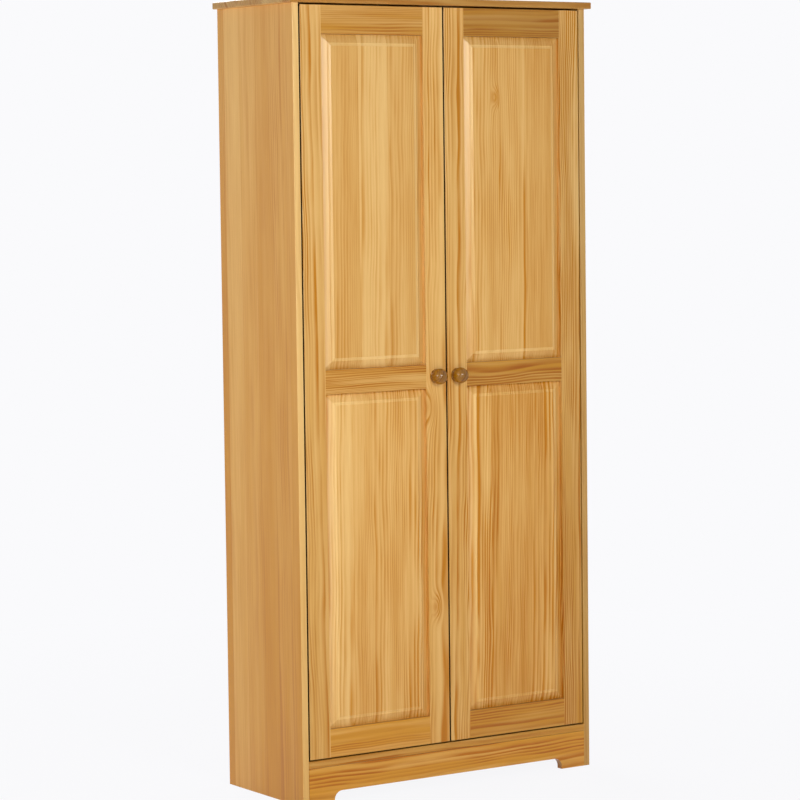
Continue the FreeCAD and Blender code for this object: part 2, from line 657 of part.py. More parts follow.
def door_panel(z_range):
    """Raised panel: tongue in the grooves, bevelled border, narrow flat band and sloping shoulder."""
    band_end = BEVEL_WIDTH + BAND_WIDTH
    reach = GROOVE_DEPTH - GROOVE_END_PLAY
    tongue = Part.Face(outline(-reach, PANEL_EDGE_DEPTH, z_range)).extrude(AXIS_Y * TONGUE_THICKNESS)
    base = outline(PANEL_EDGE_PLAY, PANEL_EDGE_DEPTH, z_range)
    bevel = Part.makeLoft([base, outline(BEVEL_WIDTH, BEVEL_TOP_DEPTH, z_range)], True, True)
    foot = outline(band_end, BEVEL_TOP_DEPTH, z_range)
    field = outline(band_end + SHOULDER_WIDTH, FIELD_DEPTH, z_range)
    shoulder = Part.makeLoft([foot, field], True, True)
    return tongue.multiFuse([bevel, shoulder]).removeSplitter()


def knob_screw_shank(grow=0.0):
    """Screw from the back of the meeting stile into the knob."""
    start = Vector(MEETING_STILE_MIDDLE, DOOR_BACK, MIDDLE_RAIL_MIDDLE)
    return rod(start, -AXIS_Y, DOOR_THICKNESS + KNOB_SCREW_IN_KNOB + grow, KNOB_SCREW_RADIUS + grow)


def knob_screw():
    """Pan-head screw holding the knob."""
    seat = Vector(MEETING_STILE_MIDDLE, DOOR_BACK, MIDDLE_RAIL_MIDDLE)
    head = rod(seat, AXIS_Y, KNOB_SCREW_HEAD_HEIGHT, KNOB_SCREW_HEAD_RADIUS)
    crown = seat + AXIS_Y * KNOB_SCREW_HEAD_HEIGHT
    solid = knob_screw_shank().fuse(head).removeSplitter()
    return slotted(solid, crown, -AXIS_Y, KNOB_SCREW_HEAD_RADIUS)


def knob():
    """Turned knob: a ball on a round foot."""
    seat = Vector(MEETING_STILE_MIDDLE, FRONT, MIDDLE_RAIL_MIDDLE)
    foot = rod(seat, -AXIS_Y, KNOB_BASE_THICKNESS, KNOB_BASE_RADIUS)
    foot = foot.makeFillet(KNOB_BASE_ROUND, edges_at(foot, y=FRONT - KNOB_BASE_THICKNESS))
    ball = Part.makeSphere(KNOB_BALL_RADIUS, seat - AXIS_Y * KNOB_BALL_CENTRE, -AXIS_Y)
    behind = rod(seat, AXIS_Y, KNOB_BALL_RADIUS, KNOB_BALL_RADIUS)
    return foot.fuse(ball).cut([behind, knob_screw_shank(SCREW_PLAY)])


def left_door():
    """Nodes of the left door, named without their side."""
    middle_rail = (MIDDLE_RAIL_BOTTOM, MIDDLE_RAIL_TOP)
    nodes = {
        "door_hinge_stile": hinge_stile(),
        "door_meeting_stile": meeting_stile(),
        "door_top_rail": rail((UPPER_OPENING[1], DOOR_TOP), (UPPER_OPENING[1],), DOOR_TOP),
        "door_middle_rail": rail(middle_rail, middle_rail),
        "door_bottom_rail": rail((DOOR_BOTTOM, LOWER_OPENING[0]), (LOWER_OPENING[0],), DOOR_BOTTOM),
        "door_upper_panel": door_panel(UPPER_OPENING),
        "door_lower_panel": door_panel(LOWER_OPENING),
        "knob": knob(),
        "knob_screw": knob_screw(),
        "strike_plate": strike_plate(),
        "hinge_pins": Part.makeCompound([hinge_pin(z) for z in hinge_heights()]),
    }
    places = strike_screw_places()
    for name, z in zip(HINGE_NAMES, hinge_heights()):
        nodes[name + "_hinge_cup"] = hinge_cup(z)
        places += cup_screw_places(z)
    nodes["door_screws"] = Part.makeCompound(screws(places))
    return nodes


def left_fittings():
    """Hinge arms, catch parts and side board of the left half, named without their side."""
    nodes = {"side_board": side_board(), "back_panel": back_panel(), "catch_housing": catch_housing()}
    nodes["catch_magnet"] = catch_pocket(MAGNET_PLAY)
    for name, z in zip(HINGE_NAMES, hinge_heights()):
        nodes[name + "_hinge_arm"] = hinge_arm(z)
    return nodes


def carcass_groups():
    """Fasteners and other repeated small pieces of the carcass, one group of solids each."""
    plate_places = []
    for z in hinge_heights():
        plate_places += plate_screw_places(z)
    dowels = both_halves([dowel(joint) for joint in left_dowels()])
    dowels += [dowel(joint) for joint in partition_dowels()]
    return {
        "hinge_plates": both_halves([hinge_plate(z) for z in hinge_heights()]),
        "hinge_plate_screws": both_halves(screws(plate_places)),
        "hinge_arm_screws": both_halves([arm_screw(z) for z in hinge_heights()]),
        "catch_screws": both_halves(screws(catch_screw_places())),
        "back_panel_nails": both_halves([nail(x, z) for x, z in left_nail_places()]),
        "carcass_dowels": dowels,
        "shelf_pins": shelf_pins(),
    }


def all_nodes():
    """Every node of the cupboard by name."""
    nodes = {
        "top_board": top_board(),
        "bottom_board": bottom_board(),
        "plinth": plinth(),
        "hat_shelf": hat_shelf(),
        "partition": partition(),
    }
    for name, underside in zip(LOOSE_SHELVES, shelf_heights()):
        nodes[name] = loose_shelf(underside)
    for name, shape in list(left_door().items()) + list(left_fittings().items()):
        nodes["left_" + name] = shape
        nodes["right_" + name] = mirrored(shape)
    nodes["right_side_board"] = nodes["right_side_board"].cut(pin_holes(INSIDE_RIGHT, -AXIS_X))
    for name, solids in carcass_groups().items():
        nodes[name] = Part.makeCompound(solids)
    return nodes


os.makedirs("parts", exist_ok=True)
for node, shape in all_nodes().items():
    shape.exportStep("parts/" + node + ".step")
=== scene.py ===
"""Finish and stage for a two-door pine broom cupboard."""

import math
from typing import NamedTuple

import bmesh
import bpy
from bpy.props import FloatProperty, FloatVectorProperty, PointerProperty
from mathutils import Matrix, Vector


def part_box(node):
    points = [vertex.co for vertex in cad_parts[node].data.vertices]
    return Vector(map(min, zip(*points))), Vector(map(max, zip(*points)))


bl_info = {
    "name": "Pine Broom Cupboard",
    "version": (1, 0, 0),
    "blender": (4, 5, 0),
    "location": "View3D > Sidebar > Cupboard",
    "description": "Finishes the boards, knobs and fittings of a pine cupboard and sets its stage",
    "category": "Object",
}

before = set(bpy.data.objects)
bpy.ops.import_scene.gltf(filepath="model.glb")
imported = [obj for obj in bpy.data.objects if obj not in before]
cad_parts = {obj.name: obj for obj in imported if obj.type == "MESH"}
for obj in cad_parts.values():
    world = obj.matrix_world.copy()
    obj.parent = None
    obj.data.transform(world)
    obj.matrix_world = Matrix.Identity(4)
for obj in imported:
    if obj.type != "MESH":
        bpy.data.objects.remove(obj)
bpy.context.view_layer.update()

SIDES = ("left", "right")
MM_PER_METRE = 1000.0


def linear(hex_colour):
    """Turns an sRGB hex value into the linear colour that the shaders use."""
    channels = [int(hex_colour[i:i + 2], 16) / 255.0 for i in (1, 3, 5)]
    return tuple(c / 12.92 if c <= 0.04045 else ((c + 0.055) / 1.055) ** 2.4 for c in channels)


def colour_property(name, description, hex_colour):
    """A colour that the sidebar shows as a swatch."""
    return FloatVectorProperty(
        name=name, description=description, subtype="COLOR", size=3, min=0.0, max=1.0,
        default=linear(hex_colour))


def length_property(name, description, millimetres):
    """A real length, held in metres and written here in millimetres."""
    return FloatProperty(
        name=name, description=description, unit="LENGTH", subtype="DISTANCE", min=0.0,
        precision=5, default=millimetres / MM_PER_METRE)


def share_property(name, description, share):
    """A number from nought to one."""
    return FloatProperty(
        name=name, description=description, subtype="FACTOR", min=0.0, max=1.0, default=share)


# Settings

class PineSettings(bpy.types.PropertyGroup):
    """Colours and growth of the waxed pine boards"""
    early_colour: colour_property("Early wood", "Pale wood grown in spring", "#E9C07A")
    late_tint: colour_property(
        "Late wood", "Tint of waxed late wood, which closes each growth ring", "#D4A800")
    heart_colour: colour_property("Heartwood", "Warmer bands that run along a board", "#CA8F2A")
    ring_width: length_property("Ring width", "Mean width of one growth ring", 7.5)
    roughness: share_property("Roughness", "Roughness of the rubbed wax", 0.35)
    shine: share_property(
        "Shine", "Specular level of the rubbed wax, lower than that of a clear coat", 0.3)
    glue_line: length_property("Glue line", "Width of the joint between two glued staves", 0.6)


class KnobSettings(bpy.types.PropertyGroup):
    """Colours of the turned knobs"""
    early_colour: colour_property("Pale wood", "Wood between the growth lines", "#B27C14")
    late_tint: colour_property(
        "Growth line", "Tint of the growth lines in the turned wood", "#C09A50")
    heart_colour: colour_property("Stain", "Stain that the wood has taken up", "#8E5C08")
    ring_width: length_property("Ring width", "Mean width of one growth ring", 2.2)
    roughness: share_property("Roughness", "Roughness of the brushed varnish", 0.12)
    shine: share_property("Shine", "Specular level of the varnish", 0.4)


class PanelWoodSettings(bpy.types.PropertyGroup):
    """Colours of the thin back panels and of the dowels"""
    ply_colour: colour_property("Veneer", "Pale face of the back panel", "#DDBB86")
    ply_line_colour: colour_property(
        "Veneer figure", "Darker figure in the face of the back panel", "#C1975C")
    beech_colour: colour_property("Dowel", "Plain beech of the dowels", "#CFA273")


class FittingSettings(bpy.types.PropertyGroup):
    """Colours of the hinges, catches and screws"""
    nickel_colour: colour_property("Nickel plate", "Warm bright plate on the hinges", "#C6C1B6")
    zinc_colour: colour_property(
        "Zinc plate", "Cool plate on the screws, nails, shelf pins and strike plates", "#B9BDC2")
    plastic_colour: colour_property("Catch case", "Moulded case of the catch", "#6A4526")
    magnet_colour: colour_property("Magnet", "Pressed dark magnet block", "#3B3A3B")


class StageSettings(bpy.types.PropertyGroup):
    """Floor, light and camera"""
    floor_colour: colour_property("Floor", "Plain pale floor", "#F2F2F3")
    backdrop_colour: colour_property("Backdrop", "White seen behind the cupboard", "#FAFAFC")
    floor_radius: length_property("Floor radius", "Reach of the round floor", 14000.0)
    lens: FloatProperty(
        name="Lens", description="Focal length in millimetres", default=135.5777, min=10.0)
    camera_place: FloatVectorProperty(
        name="Camera", description="Place of the camera", subtype="TRANSLATION", unit="LENGTH",
        default=(-3.84623, -5.72974, 1.40218))
    camera_turn: FloatVectorProperty(
        name="Camera turn", description="Rotation of the camera", subtype="EULER", unit="ROTATION",
        default=tuple(math.radians(a) for a in (85.6172, 0.6891, -33.7075)))


# Shader building

# Outputs of the texture coordinate node: which way a face looks, and where a point lies
FACING = 1
PLACE = 3

# The middle of a noise's range that is stretched to the whole: a narrow middle gives more contrast
SOFT = (0.25, 0.75)
CLEAR = (0.3, 0.7)
STRONG = (0.36, 0.64)


def add(tree, kind, inputs=(), **settings):
    """Adds one node, sets it, fills or links its inputs, and returns the outputs that it shows."""
    node = tree.nodes.new("ShaderNode" + kind)
    for name, value in settings.items():
        setattr(node, name, value)
    shown = [socket for socket in node.inputs if socket.enabled]
    pairs = inputs.items() if isinstance(inputs, dict) else enumerate(inputs)
    for key, value in pairs:
        socket = node.inputs[key] if isinstance(key, str) else shown[key]
        if isinstance(value, bpy.types.NodeSocket):
            tree.links.new(value, socket)
        elif value is not None:
            socket.default_value = value
    return [socket for socket in node.outputs if socket.enabled]


def new_material(name):
    """An empty material of this name, and its node tree."""
    material = bpy.data.materials.new(name)
    material.use_nodes = True
    material.node_tree.nodes.clear()
    return material, material.node_tree


def opaque(colour):
    """A colour with its alpha of one."""
    return (*colour, 1.0)


def repeats(*sizes):
    """How often a pattern of these sizes in mm comes in each metre."""
    return tuple(MM_PER_METRE / size for size in sizes)


def dress(names, material):
    """Gives the named CAD nodes one material."""
    for name in names:
        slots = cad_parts[name].data.materials
        slots.clear()
        slots.append(material)


# Wood: lengths in this part are in mm

# The trunk that a stave was sawn from: the most that chance adds to a board's own distance from the
# pith, how far behind the board the pith lies at least, what chance adds to that, and its height
PITH_ASIDE = 110.0
PITH_LEAST_DEPTH = 30.0
PITH_ADDED_DEPTH = 50.0
TRUNK_HEIGHT = 4000.0

# Soft noise drawn out along the grain: its width, its length and its detail.
# Fibres are drawn twice as coarse as real ones, to show in the render.
WANDER_NOISE = (80.0, 260.0, 1.5)
WAVER_NOISE = (12.0, 110.0, 1.0)
HEART_NOISE = (20.0, 500.0, 2.0)
PATCH_NOISE = (34.0, 260.0, 2.0)
FIBRE_NOISE = (1.2, 60.0, 1.0)

# Growth rings: how far they waver; how far a knot pushes them aside for each mm of its radius; the
# width of the widest and the narrowest stave's rings against the usual; how quickly the width
# drifts from year to year, and by how many years
RING_WAVER = 2.6
KNOT_PUSH = 1.4
WIDEST_RING = 1.35
NARROWEST_RING = 0.75
DRIFT_PACE = 0.17
DRIFT_YEARS = 4.0

# Late wood: the parts of a ring in which it darkens and in which it ends, and how its depth ranges
# over the years, the staves and the patches
DARKENING = (0.10, 0.78)
ENDING = (0.80, 1.0)
YEAR_DEPTH = (0.4, 1.1)
STAVE_DEPTH = (0.4, 1.2)
PATCH_DEPTH = (0.3, 1.3)

# Heartwood: how far its share swings between the bands of a board, and between staves
BAND_SWING = 0.3
STAVE_SWING = 0.25

# Wax: how much more of it open fibres, soft patches, some staves and glue lines take, and how
# much less a pale edge takes: partly sapwood, partly painted sheen
FIBRE_WAX = 0.16
PATCH_WAX = 0.10
STAVE_WAX = 0.2
GLUE_WAX = 0.5
SAP_AND_SHEEN_WAX = -0.4

# The shoulder round a panel's field, drawn lighter as a painted highlight: how far its middle lies
# from the panel's own edge, which the door frame hides, and half its width
SHOULDER_INSET = 30.75
SHOULDER_HALF_WIDTH = 3.25

# How far a face turns to its board's outer edge, its end or a gap, from not at all to wholly
EDGEWARD = (0.1, 0.7)
ENDWARD = (0.5, 0.95)
GAPWARD = (0.1, 0.5)

# Dark places: how light end grain is, and the width of a seam
END_GRAIN_LIGHT = 0.72
SEAM_WIDTH = 1.3

# The painted shade in the gaps round a door: how far off a wall still counts, the rays that look
# for it, and the share of open rays where it is darkest and where it is lightest
GAP_REACH = 12.0
GAP_RAYS = 8
GAP_OPENNESS = (0.5, 1.0)

# Polish: how much rougher early wood is and how much smoother late wood, how high a fibre stands
# against a ring, the strength of the relief and its height in metres
EARLY_ROUGHER = 0.04
LATE_SMOOTHER = 0.05
FIBRE_RELIEF = 0.5
RELIEF_STRENGTH = 0.25
RELIEF_HEIGHT = 0.0002
WOOD_IOR = 1.5

# Wax lies as a thin soft coat, thinner inside the cupboard; a knob's shine is all in its varnish
OUTSIDE_COAT = 0.15
INSIDE_COAT = 0.10
NO_COAT = 0.0
COAT_ROUGHNESS = 0.22

# A stave wider than any board, for a board that is one piece
WHOLE = 4000.0


class Knot(NamedTuple):
    """A knot in a board, twice as long as it is wide."""
    across: float               # place from the middle of the board, across it
    along: float                # and along it
    radius: float
    depth: float                # how deep its colour is


class Board(NamedTuple):
    """What a board was sawn from, and how it is lit and worn."""
    node: str
    axes: str                   # frame axes that run across, through and along it
    seed: float                 # seed of its figure
    stave: float = WHOLE        # width of its glued staves
    shift: float = 0.5          # where in a stave its middle lies
    light: float = 1.0          # how light it is: its own tone with painted light and shade, such as darker rails for level grain
    heart: float = 0.15         # how much of its colour is heartwood
    foot_shade: float = 0.0           # painted shade: more heartwood colour at the foot than the head, as sheen fades lower
    figure: float = 1.0         # how plain its lines are to see
    near: float = 60.0          # least distance of the pith to one side: near gives arches
    wander: float = 14.0        # how far its rings wander
    runout: float = 0.012       # how far its rings run out for each mm along it
    growth: float = 1.0         # width of its rings against the usual
    outer: float = 1.0          # which way across its outer edge looks
    edge: float = 1.0           # how light that edge is
    sap_and_sheen: float = 0.0            # how much less heartwood and wax that edge has: partly sapwood, partly painted sheen
    gap: float = 1.0            # how light its painted shade is deep in a narrow gap
    seam: float = 1.0           # how light its inner edge is where it meets the next piece
    rubbed: float = 0.0         # how much lighter the shoulder round its field is drawn: a painted highlight
    knots: tuple = ()


class Cut(NamedTuple):
    """Sockets that say where a point lies in its board, and in the trunk of its stave."""
    across: bpy.types.NodeSocket        # place from the middle of the board
    through: bpy.types.NodeSocket
    along: bpy.types.NodeSocket
    outward: bpy.types.NodeSocket       # how far its face looks to the outer edge
    endward: bpy.types.NodeSocket       # how far its face looks to an end
    staves: bpy.types.NodeSocket        # count of staves up to it
    chance: bpy.types.NodeSocket        # random share of its stave
    luck: list                          # three more random shares of its stave
    grain: bpy.types.NodeSocket         # place in the trunk, from the pith
    upwards: bpy.types.NodeSocket       # height in the trunk


SIDE_BOARDS = (
    Board("left_side_board", "YXZ", 11.0, stave=67.0, shift=0.0, light=1.12, heart=0.55, foot_shade=0.4,
          figure=0.35, outer=-1.0, edge=0.9, sap_and_sheen=0.65),
    Board("right_side_board", "YXZ", 12.0, stave=67.0, shift=0.0, light=1.1, heart=0.55, foot_shade=0.4,
          figure=0.35, outer=-1.0, edge=0.7, sap_and_sheen=0.4),
)
TOP_BOARDS = (
    Board("top_board", "YZX", 21.0, stave=90.0, heart=0.5, outer=-1.0, edge=0.78),
)
PLINTH_BOARDS = (
    Board("plinth", "ZYX", 31.0, light=1.11, heart=0.9, figure=1.6, wander=20.0, growth=1.5,
          outer=-1.0, seam=0.7),
)
INNER_BOARDS = (
    Board("bottom_board", "YZX", 41.0, stave=90.0, light=1.04, heart=0.95, outer=-1.0, edge=0.9),
    Board("hat_shelf", "YZX", 42.0, stave=90.0),
    Board("lower_shelf", "YZX", 43.0, stave=90.0),
    Board("middle_shelf", "YZX", 44.0, stave=90.0),
    Board("upper_shelf", "YZX", 45.0, stave=90.0),
    Board("partition", "YXZ", 46.0, stave=90.0),
)
# Door edges are a little darker, and take painted shade in the narrow gaps round them
DOOR_EDGE = {"edge": 0.9, "gap": 0.02}
STILE_BOARDS = (
    Board("left_door_hinge_stile", "XYZ", 55.0, light=0.98, foot_shade=0.4, figure=0.8, near=-40.0,
          wander=18.0, outer=-1.0, **DOOR_EDGE),
    Board("left_door_meeting_stile", "XYZ", 52.0, light=1.04, foot_shade=0.3, figure=0.9, near=20.0,
          wander=24.0, outer=1.0, **DOOR_EDGE,
          knots=(Knot(-22.0, -64.0, 18.0, 0.25), Knot(-4.0, -519.0, 15.0, 0.4))),
    Board("right_door_meeting_stile", "XYZ", 53.0, heart=0.2, foot_shade=0.3, figure=1.4, near=30.0,
          wander=24.0, outer=-1.0, **DOOR_EDGE),
    Board("right_door_hinge_stile", "XYZ", 54.0, light=0.93, heart=0.0, foot_shade=0.8, figure=1.5,
          near=30.0, wander=18.0, outer=1.0, **DOOR_EDGE),
)
RAIL_BOARDS = (
    Board("left_door_top_rail", "ZYX", 61.0, light=0.92, heart=0.75, figure=1.4, growth=0.65,
          outer=1.0, seam=0.7, **DOOR_EDGE),
    Board("left_door_middle_rail", "ZYX", 62.0, light=0.97, heart=0.65, figure=1.6, growth=0.65,
          outer=-1.0, seam=0.75),
    Board("left_door_bottom_rail", "ZYX", 63.0, light=1.07, heart=0.9, figure=1.4, growth=0.8,
          outer=-1.0, seam=0.7, **DOOR_EDGE),
    Board("right_door_top_rail", "ZYX", 64.0, light=0.74, heart=0.85, figure=1.4, growth=0.65,
          outer=1.0, seam=0.7, **DOOR_EDGE),
    Board("right_door_middle_rail", "ZYX", 65.0, light=0.88, heart=0.85, figure=2.0, near=0.0,
          wander=40.0, growth=1.5, outer=-1.0, seam=0.75),
    Board("right_door_bottom_rail", "ZYX", 66.0, light=0.96, heart=1.1, figure=1.3, growth=0.8,
          outer=-1.0, seam=0.7, **DOOR_EDGE),
)
PANEL_BOARDS = (
    Board("left_door_upper_panel", "XYZ", 71.0, stave=78.0, figure=0.5, rubbed=0.38),
    Board("left_door_lower_panel", "XYZ", 72.0, stave=130.0, light=1.06, foot_shade=0.1, figure=0.75,
          near=85.0, rubbed=0.25),
    Board("right_door_upper_panel", "XYZ", 73.0, stave=78.0, light=1.02, heart=0.1, figure=0.7,
          rubbed=0.38, knots=(Knot(-45.0, 230.0, 11.0, 0.4),)),
    Board("right_door_lower_panel", "XYZ", 74.0, stave=130.0, light=1.06, foot_shade=0.2, figure=1.3,
          near=75.0, wander=16.0, runout=0.02, growth=1.2, rubbed=0.25),
)
KNOB_BOARDS = (
    Board("left_knob", "XZY", 81.0, heart=0.4, figure=0.9, growth=2.0),
    Board("right_knob", "XZY", 82.0, heart=0.4, figure=0.9, growth=2.0),
)


def half_size(board, axis):
    """Half the size of a board across it, through it or along it."""
    low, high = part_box(board.node)
    side = "XYZ".index(board.axes[axis])
    return (high[side] - low[side]) / 2 * MM_PER_METRE


def saw_cut(tree, board):
    """Follows a point of a board back through its glued stave to its place in a trunk."""
    low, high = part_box(board.node)
    middle = [(a + b) / 2 * MM_PER_METRE for a, b in zip(low, high)]
    point = add(tree, "TexCoord")
    centred = add(tree, "VectorMath", (point[PLACE], (MM_PER_METRE,) * 3, [-m for m in middle]),
                  operation="MULTIPLY_ADD")[0]
    order = ["XYZ".index(axis) for axis in board.axes]
    lengths = add(tree, "SeparateXYZ", (centred,))
    across, through, along = (lengths[i] for i in order)
    facing = add(tree, "SeparateXYZ", (point[FACING],))
    outward = add(tree, "Math", (facing[order[0]], board.outer), operation="MULTIPLY")[0]
    endward = add(tree, "Math", (facing[order[2]],), operation="ABSOLUTE")[0]

    staves = add(tree, "Math", (across, 1 / board.stave, board.shift), operation="MULTIPLY_ADD")[0]
    stave = add(tree, "Math", (staves,), operation="FLOOR")[0]
    seed = add(tree, "Math", (stave, board.seed), operation="ADD")[0]
    chance, chances = add(tree, "TexWhiteNoise", (seed,), noise_dimensions="1D")
    luck = add(tree, "SeparateXYZ", (chances,))

    within = add(tree, "Math", (stave, -board.stave, across), operation="MULTIPLY_ADD")[0]
    farther = math.copysign(PITH_ASIDE, board.near)
    pith = add(tree, "Math", (luck[0], farther, board.near), operation="MULTIPLY_ADD")[0]
    pith_depth = add(tree, "Math", (luck[1], PITH_ADDED_DEPTH, PITH_LEAST_DEPTH),
                     operation="MULTIPLY_ADD")[0]
    sideways = add(tree, "Math", (within, pith), operation="SUBTRACT")[0]
    inwards = add(tree, "Math", (through, pith_depth), operation="ADD")[0]
    upwards = add(tree, "Math", (luck[2], TRUNK_HEIGHT, along), operation="MULTIPLY_ADD")[0]
    grain = add(tree, "CombineXYZ", (sideways, inwards, upwards))[0]
    return Cut(across, through, along, outward, endward, staves, chance, luck, grain, upwards)


def grain_noise(tree, cut, width, length, detail):
    """Soft patches drawn out along the grain, of this width and length."""
    scaled = add(tree, "VectorMath", (cut.grain, (1 / width, 1 / width, 1 / length)),
                 operation="MULTIPLY")[0]
    return add(tree, "TexNoise", {"Vector": scaled, "Scale": 1.0, "Detail": detail})[0]


def knot_nearness(tree, cut, knot):
    """One at the middle of a knot, falling off to nought; a knot is drawn out along the board."""
    length = 2 * knot.radius
    aside = add(tree, "Math", (cut.across, 1 / knot.radius, -knot.across / knot.radius),
                operation="MULTIPLY_ADD")[0]
    onward = add(tree, "Math", (cut.along, 1 / length, -knot.along / length),
                 operation="MULTIPLY_ADD")[0]
    apart = add(tree, "CombineXYZ", (aside, onward, 0.0))[0]
    apart = add(tree, "VectorMath", (apart, apart), operation="DOT_PRODUCT")[0]
    apart = add(tree, "Math", (apart, -1.0), operation="MULTIPLY")[0]
    return add(tree, "Math", (apart,), operation="EXPONENT")[0]


def ring_age(tree, board, finish, cut, knots):
    """Years out from the pith: rings wander, waver a little, taper upwards and bend round knots."""
    ring = finish.ring_width * MM_PER_METRE * board.growth
    flat = add(tree, "VectorMath", (cut.grain, (1.0, 1.0, 0.0)), operation="MULTIPLY")[0]
    reach = add(tree, "VectorMath", (flat,), operation="LENGTH")[0]
    bends = [(grain_noise(tree, cut, *WANDER_NOISE), board.wander)]
    bends += [(grain_noise(tree, cut, *WAVER_NOISE), RING_WAVER)]
    bends += [(cut.upwards, board.runout)]
    bends += [(near, KNOT_PUSH * knot.radius) for near, knot in zip(knots, board.knots)]
    for bend, amount in bends:
        reach = add(tree, "Math", (bend, amount, reach), operation="MULTIPLY_ADD")[0]
    slowest, quickest = 1 / (WIDEST_RING * ring), 1 / (NARROWEST_RING * ring)
    pace = add(tree, "MapRange", (cut.chance, 0.0, 1.0, slowest, quickest))[0]
    age = add(tree, "Math", (reach, pace), operation="MULTIPLY")[0]
    drift = add(tree, "TexNoise", {"W": age, "Scale": DRIFT_PACE, "Detail": 0.0},
                noise_dimensions="1D")[0]
    return add(tree, "Math", (drift, DRIFT_YEARS, age), operation="MULTIPLY_ADD")[0]


def late_wood(tree, board, cut, age, patch):
    """Each ring darkens slowly and ends sharply; years, staves and patches differ in depth."""
    season = add(tree, "Math", (age,), operation="FRACT")[0]
    summer = add(tree, "MapRange", (season, *DARKENING, 0.0, 1.0),
                 interpolation_type="SMOOTHSTEP")[0]
    winter = add(tree, "MapRange", (season, *ENDING, 1.0, 0.0),
                 interpolation_type="SMOOTHSTEP")[0]
    year = add(tree, "Math", (age,), operation="FLOOR")[0]
    weather = add(tree, "TexWhiteNoise", (year,), noise_dimensions="1D")[0]
    year_depth = [depth * board.figure for depth in YEAR_DEPTH]
    year_share = add(tree, "MapRange", (weather, 0.0, 1.0, *year_depth))[0]
    stave_share = add(tree, "MapRange", (cut.luck[1], 0.0, 1.0, *STAVE_DEPTH))[0]
    patch_share = add(tree, "MapRange", (patch, *STRONG, *PATCH_DEPTH))[0]
    late = summer
    for share in (winter, year_share, stave_share, patch_share):
        late = add(tree, "Math", (late, share), operation="MULTIPLY")[0]
    return add(tree, "Clamp", (late,))[0]


def heart_share(tree, board, cut):
    """Heartwood in soft bands; more at the foot as painted shade; less on an edge, as sapwood and
    painted sheen.
    """
    half_length = half_size(board, 2)
    swing = BAND_SWING * min(board.figure, 1.0)
    band = grain_noise(tree, cut, *HEART_NOISE)
    band = add(tree, "MapRange", (band, *CLEAR, board.heart - swing, board.heart + swing))[0]
    # Painted shade: more heartwood colour towards the foot stands for the sheen fading lower down
    if board.foot_shade > 0.0:
        footward_shade = add(tree, "MapRange", (cut.along, -half_length, half_length, board.foot_shade, 0.0))[0]
        band = add(tree, "Math", (band, footward_shade), operation="ADD")[0]
    if board.stave < WHOLE:
        own = add(tree, "MapRange", (cut.chance, 0.0, 1.0, -STAVE_SWING, STAVE_SWING))[0]
        band = add(tree, "Math", (band, own), operation="ADD")[0]
    # An edge left paler: partly sapwood, partly painted sheen
    if board.sap_and_sheen > 0.0:
        sapwood_and_sheen = add(tree, "MapRange", (cut.outward, *EDGEWARD, 0.0, board.sap_and_sheen))[0]
        band = add(tree, "Math", (band, sapwood_and_sheen), operation="SUBTRACT")[0]
    return add(tree, "Clamp", (band,))[0]


def shoulder_share(tree, board, cut):
    """One on the shoulder round a panel's raised field, on the front, and nought elsewhere."""
    aside = add(tree, "Math", (cut.across,), operation="ABSOLUTE")[0]
    onward = add(tree, "Math", (cut.along,), operation="ABSOLUTE")[0]
    from_side = add(tree, "Math", (half_size(board, 0), aside), operation="SUBTRACT")[0]
    from_end = add(tree, "Math", (half_size(board, 2), onward), operation="SUBTRACT")[0]
    inset = add(tree, "Math", (from_side, from_end), operation="MINIMUM")[0]
    shoulder = add(tree, "Math", (inset, SHOULDER_INSET, SHOULDER_HALF_WIDTH),
                   operation="COMPARE")[0]
    front = add(tree, "Math", (cut.through, 0.0), operation="LESS_THAN")[0]
    return add(tree, "Math", (front, shoulder), operation="MULTIPLY")[0]


def wax_share(tree, board, finish, cut, late, fibre, patch, knots):
    """Warm wax sinks into late wood, knots, fibres, patches and glue lines; a paler edge (sapwood
    and painted sheen) and a panel's shoulder (painted highlight) take less.
    """
    open_fibre = add(tree, "MapRange", (fibre, *SOFT, 0.0, FIBRE_WAX))[0]
    open_patch = add(tree, "MapRange", (patch, *CLEAR, 0.0, PATCH_WAX))[0]
    soaked = [open_fibre, open_patch]
    soaked += [add(tree, "Math", (near, knot.depth), operation="MULTIPLY")[0]
               for near, knot in zip(knots, board.knots)]
    if board.stave < WHOLE:
        soaked += add(tree, "MapRange", (cut.chance, 0.0, 1.0, 0.0, STAVE_WAX))
        from_joint = add(tree, "Math", (cut.staves, 0.5), operation="PINGPONG")[0]
        line = finish.glue_line * MM_PER_METRE / board.stave
        soaked += add(tree, "MapRange", (from_joint, 0.0, line, GLUE_WAX, 0.0))
    # A pale edge takes less wax tint: partly sapwood, partly painted sheen
    if board.sap_and_sheen > 0.0:
        soaked += add(tree, "MapRange", (cut.outward, *EDGEWARD, 0.0, SAP_AND_SHEEN_WAX * board.sap_and_sheen))
    # Painted highlight: the shoulder round a panel's raised field is drawn lighter, with less wax
    # tint
    if board.rubbed > 0.0:
        shoulder = shoulder_share(tree, board, cut)
        soaked += add(tree, "Math", (shoulder, -board.rubbed), operation="MULTIPLY")
    share = late
    for part in soaked:
        share = add(tree, "Math", (share, part), operation="ADD")[0]
    return share


def dark_places(tree, board, cut):
    """How light the wood is on its end grain, along a seam and on its outer edge."""
    shades = add(tree, "MapRange", (cut.endward, *ENDWARD, 1.0, END_GRAIN_LIGHT))
    if board.seam < 1.0:
        inner = add(tree, "Math", (cut.across, board.outer, half_size(board, 0)),
                    operation="MULTIPLY_ADD")[0]
        shades += add(tree, "MapRange", (inner, 0.0, SEAM_WIDTH, board.seam, 1.0))
    if board.edge != 1.0:
        shades += add(tree, "MapRange", (cut.outward, *EDGEWARD, 1.0, board.edge))
    return shades


